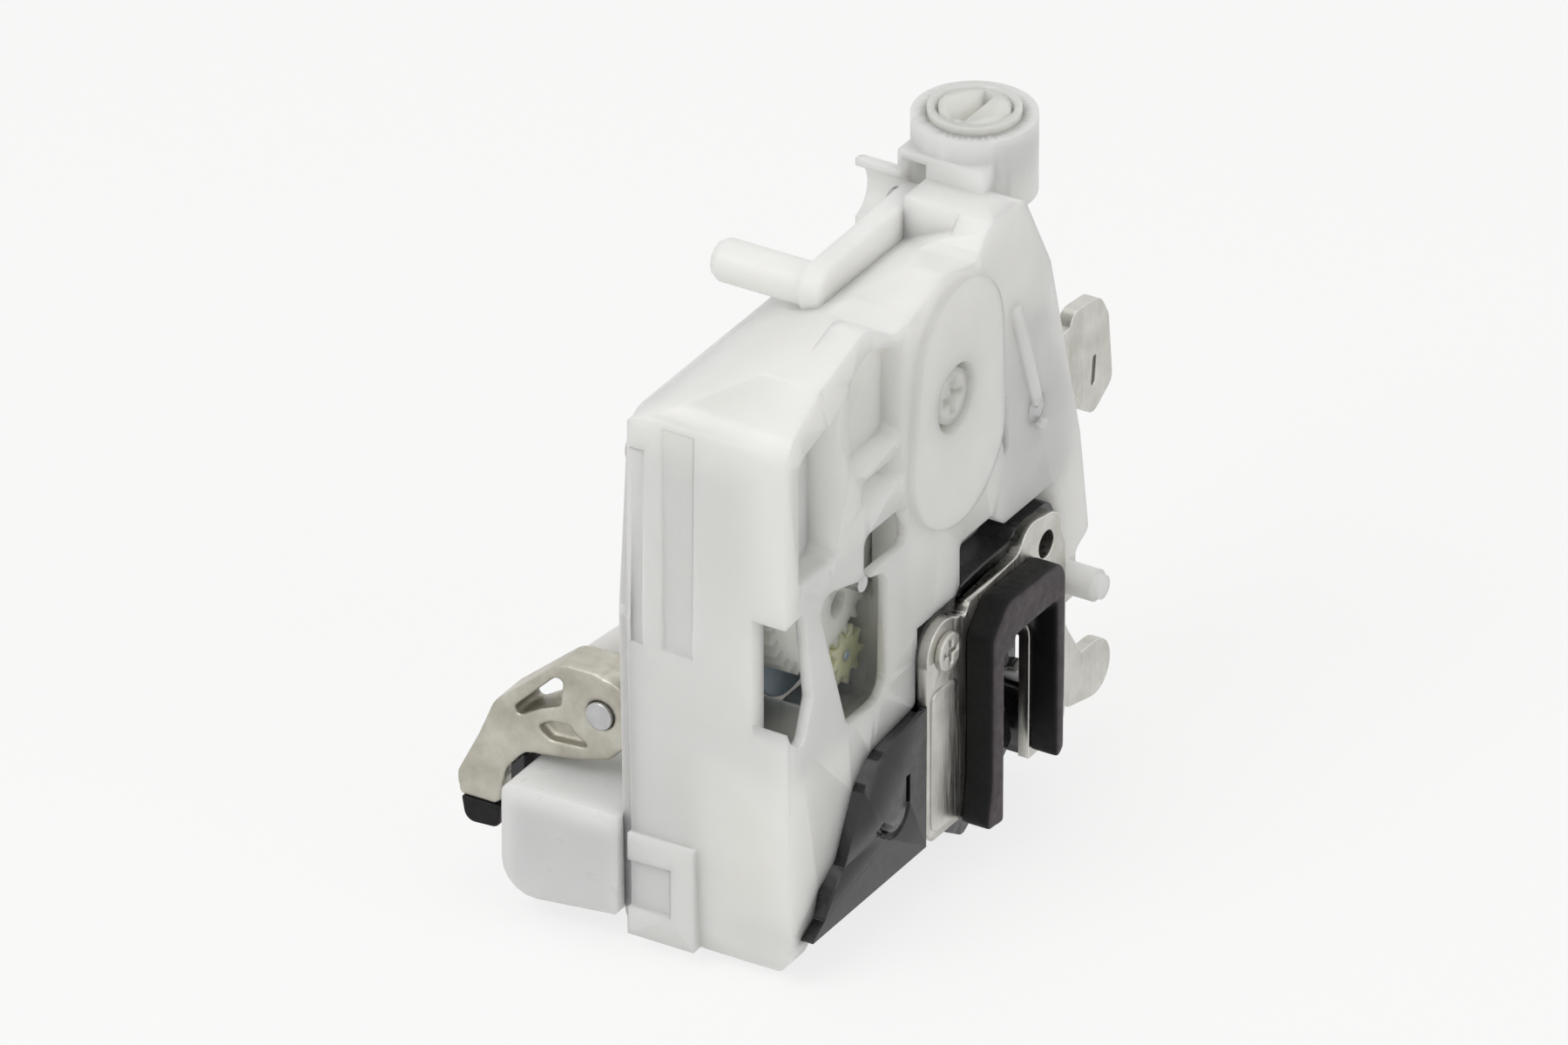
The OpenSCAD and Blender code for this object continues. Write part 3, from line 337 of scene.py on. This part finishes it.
finished("striker_buffer", "buffer_moulding", 0.0003, "lock_body", epdm_rubber)

# Liner behind the mouth: a 0.4 mm pad of black rubber on the bay's rear wall. It darkens the
# mouth inside, as in the photograph.
liner_size, liner_place = (0.0004, 0.019, 0.03), (-0.01825, 0, 0.001)
bpy.ops.object.select_all(action="DESELECT")
bpy.ops.mesh.primitive_cube_add(size=1, location=liner_place)
liner = bpy.context.object
liner.name = liner.data.name = "mouth_liner"
liner.scale = liner_size
bpy.ops.object.transform_apply(location=True, rotation=True, scale=True)
trimmed = liner.modifiers.new("trimmed_corners", "BEVEL")
trimmed.width, trimmed.segments = 0.00015, 2
bpy.ops.object.modifier_apply(modifier="trimmed_corners")
liner.data.materials.append(epdm_rubber)
liner.select_set(False)
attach(liner, "lock_body")

# Claw and its jacket: 5 mm hardened steel, phosphated dark with edges rubbed bright, and a black
# nylon skin that quietens the striker.
hardened_steel = zinc_plated("steel_hardened_ground", "#C4C4C4", "#A8A8A8", 0.28)
claw_steel, tree, shader, place = start_material(
    "steel_hardened_phosphated", Metallic=0.6, Roughness=0.42)
dark = mottled(tree, place, 160, linear("#19191A"), linear("#2A2A2B"))
tree.links.new(edge_worn(tree, dark, linear("#C9C9C4")), shader.inputs["Base Color"])
grained(tree, place, shader, 1800, 0.2, 0.00006)
finished("claw", "claw_steel_part", 0, "claw_body", claw_steel)
finished("claw_jacket", "claw_jacket_moulding", 0, "claw_body", black_nylon)

# Pawl and release lever: two stampings that turn together on the pawl's pivot. The pawl is dark
# like the claw, the lever is zinc plated.
finished("pawl", "pawl_stamping", 0, "pawl_body", claw_steel)
finished("release_lever", "release_stamping", 0.0004, "pawl_body",
         plated_steel)

# Pivots and pins: cold-headed steel rivets and turned pins, ground, each with a broken edge of
# 0.2 mm.
for node in ("claw_pivot", "pawl_pivot", "lock_gear_axle", "knob_lever_pin", "inside_lever_pin",
             "outside_lever_pin"):
    finished(node, node + "_turned", 0.0002, "lock_body", hardened_steel)

# Screws: cross-recess pan heads, cold formed and zinc plated, one in the face plate and five in
# the rear cover.
finished("plate_screw", "plate_screw_head", 0.00025, "lock_body",
         plated_steel, 3)
finished("cover_screws", "cover_screw_heads", 0.0002, "lock_body",
         plated_steel)

# Springs: dark drawn spring wire, wound. Each wire is rounded from the flats of its CAD solid by
# one subdivision.
spring_wire, tree, shader, place = start_material("spring_steel_drawn_dark", Metallic=1.0,
                                                  Roughness=0.3)
tree.links.new(mottled(tree, place, 300, linear("#3A3634"), linear("#5A544F")),
               shader.inputs["Base Color"])
grained(tree, place, shader, 2500, 0.15, 0.00005)
for node in ("claw_spring", "pawl_spring", "lever_spring"):
    wire = finished(node, node + "_wire", 0, "lock_body", spring_wire, smooth=60)
    wire.modifiers.new("rounding", "SUBSURF").levels = 1
    wire.modifiers["rounding"].render_levels = 1
    bpy.context.view_layer.objects.active = wire
    bpy.ops.object.modifier_apply(modifier="rounding")

# Motor: a drawn steel can with a pale bluish passivated skin, seen through the slot in the
# housing's left face.
motor_can, tree, shader, place = start_material("steel_can_blue_passivated", Metallic=0.4,
                                                Roughness=0.35)
tree.links.new(mottled(tree, place, 200, linear("#B4C4D4"), linear("#C8D5E2")),
               shader.inputs["Base Color"])
grained(tree, place, shader, 900, 0.12, 0.00006)
finished("lock_motor", "motor_can_drawn", 0.0005, "lock_body", motor_can, 3)

# Gears: a yellow-green acetal pinion on the motor, a white double wheel and a white sector whose
# hub shows in the boss.
yellow_acetal = moulded_acetal("acetal_yellow_green_moulded", "#F5F7C4", "#EDF1AE", 0.36)
white_acetal = moulded_acetal("acetal_gear_white_moulded", "#EFEFEA", "#E8E8E0", 0.36)
finished("drive_pinion", "pinion_moulding", 0, "pinion_body",
         yellow_acetal)
finished("lock_gear", "gear_moulding", 0, "gear_body", white_acetal)
finished("lock_sector", "sector_moulding", 0, "sector_body", white_acetal)

# Knob lever: a white moulded arm in the tower's slot with a thick peg for the knob's rod, its
# edges full and round.
softened("knob_lever", "knob_lever_moulding", 0.0004, 5, "knob_body",
         natural_acetal)

# Key rotor: a white moulded cup insert in the tower, with a blade slot for the key cylinder's
# tail in its crown.
finished("key_rotor", "rotor_moulding", 0, "rotor_body", white_acetal)

# Inside lever: a zinc plated stamping at the housing's right side, with a slit for the cable of
# the inside handle.
finished("inside_lever", "inside_lever_stamping", 0.0003, "inside_body",
         plated_steel)

# Outside lever: die-cast zinc with its dull cast skin, a window and a groove. It carries a rubber
# bumper on its tip and a black nylon rod clip.
cast_zinc, tree, shader, place = start_material("zinc_die_cast", Metallic=0.9, Roughness=0.46)
tree.links.new(mottled(tree, place, 130, linear("#A9A599"), linear("#C9C6BB")),
               shader.inputs["Base Color"])
tree.links.new(mottled(tree, place, 900, grey(0.36), grey(0.6)), shader.inputs["Roughness"])
grained(tree, place, shader, 1500, 0.4, 0.00012)
softened("outside_lever", "outside_lever_casting", 0.00035, 6, "outside_body",
         cast_zinc)
finished("lever_bumper", "bumper_moulding", 0.0008, "outside_body",
         epdm_rubber, 3)
finished("rod_clip", "clip_moulding", 0.0005, "outside_body", black_nylon, 3)

# Connector and switch: a glossier white PBT hood with two rows of brass pins, the brass strips
# that lead to it, and the black claw switch at their other end.
white_polyester = moulded_acetal("pbt_white_moulded", "#F4F6F8", "#F0F2F5", 0.3)
finished("connector_hood", "connector_moulding", 0, "lock_body",
         white_polyester, smooth=18)
stamped_brass, tree, shader, place = start_material("brass_stamped_bright", Metallic=1.0,
                                                    Roughness=0.25)
tree.links.new(mottled(tree, place, 200, linear("#C9A860"), linear("#DDBE7A")),
               shader.inputs["Base Color"])
finished("terminal_pins", "terminal_pin_rows", 0.0001, "lock_body",
         stamped_brass)
finished("contact_strips", "contact_strip_set", 0.0001, "lock_body",
         stamped_brass)
finished("claw_switch", "switch_box", 0.0004, "lock_body", black_nylon)
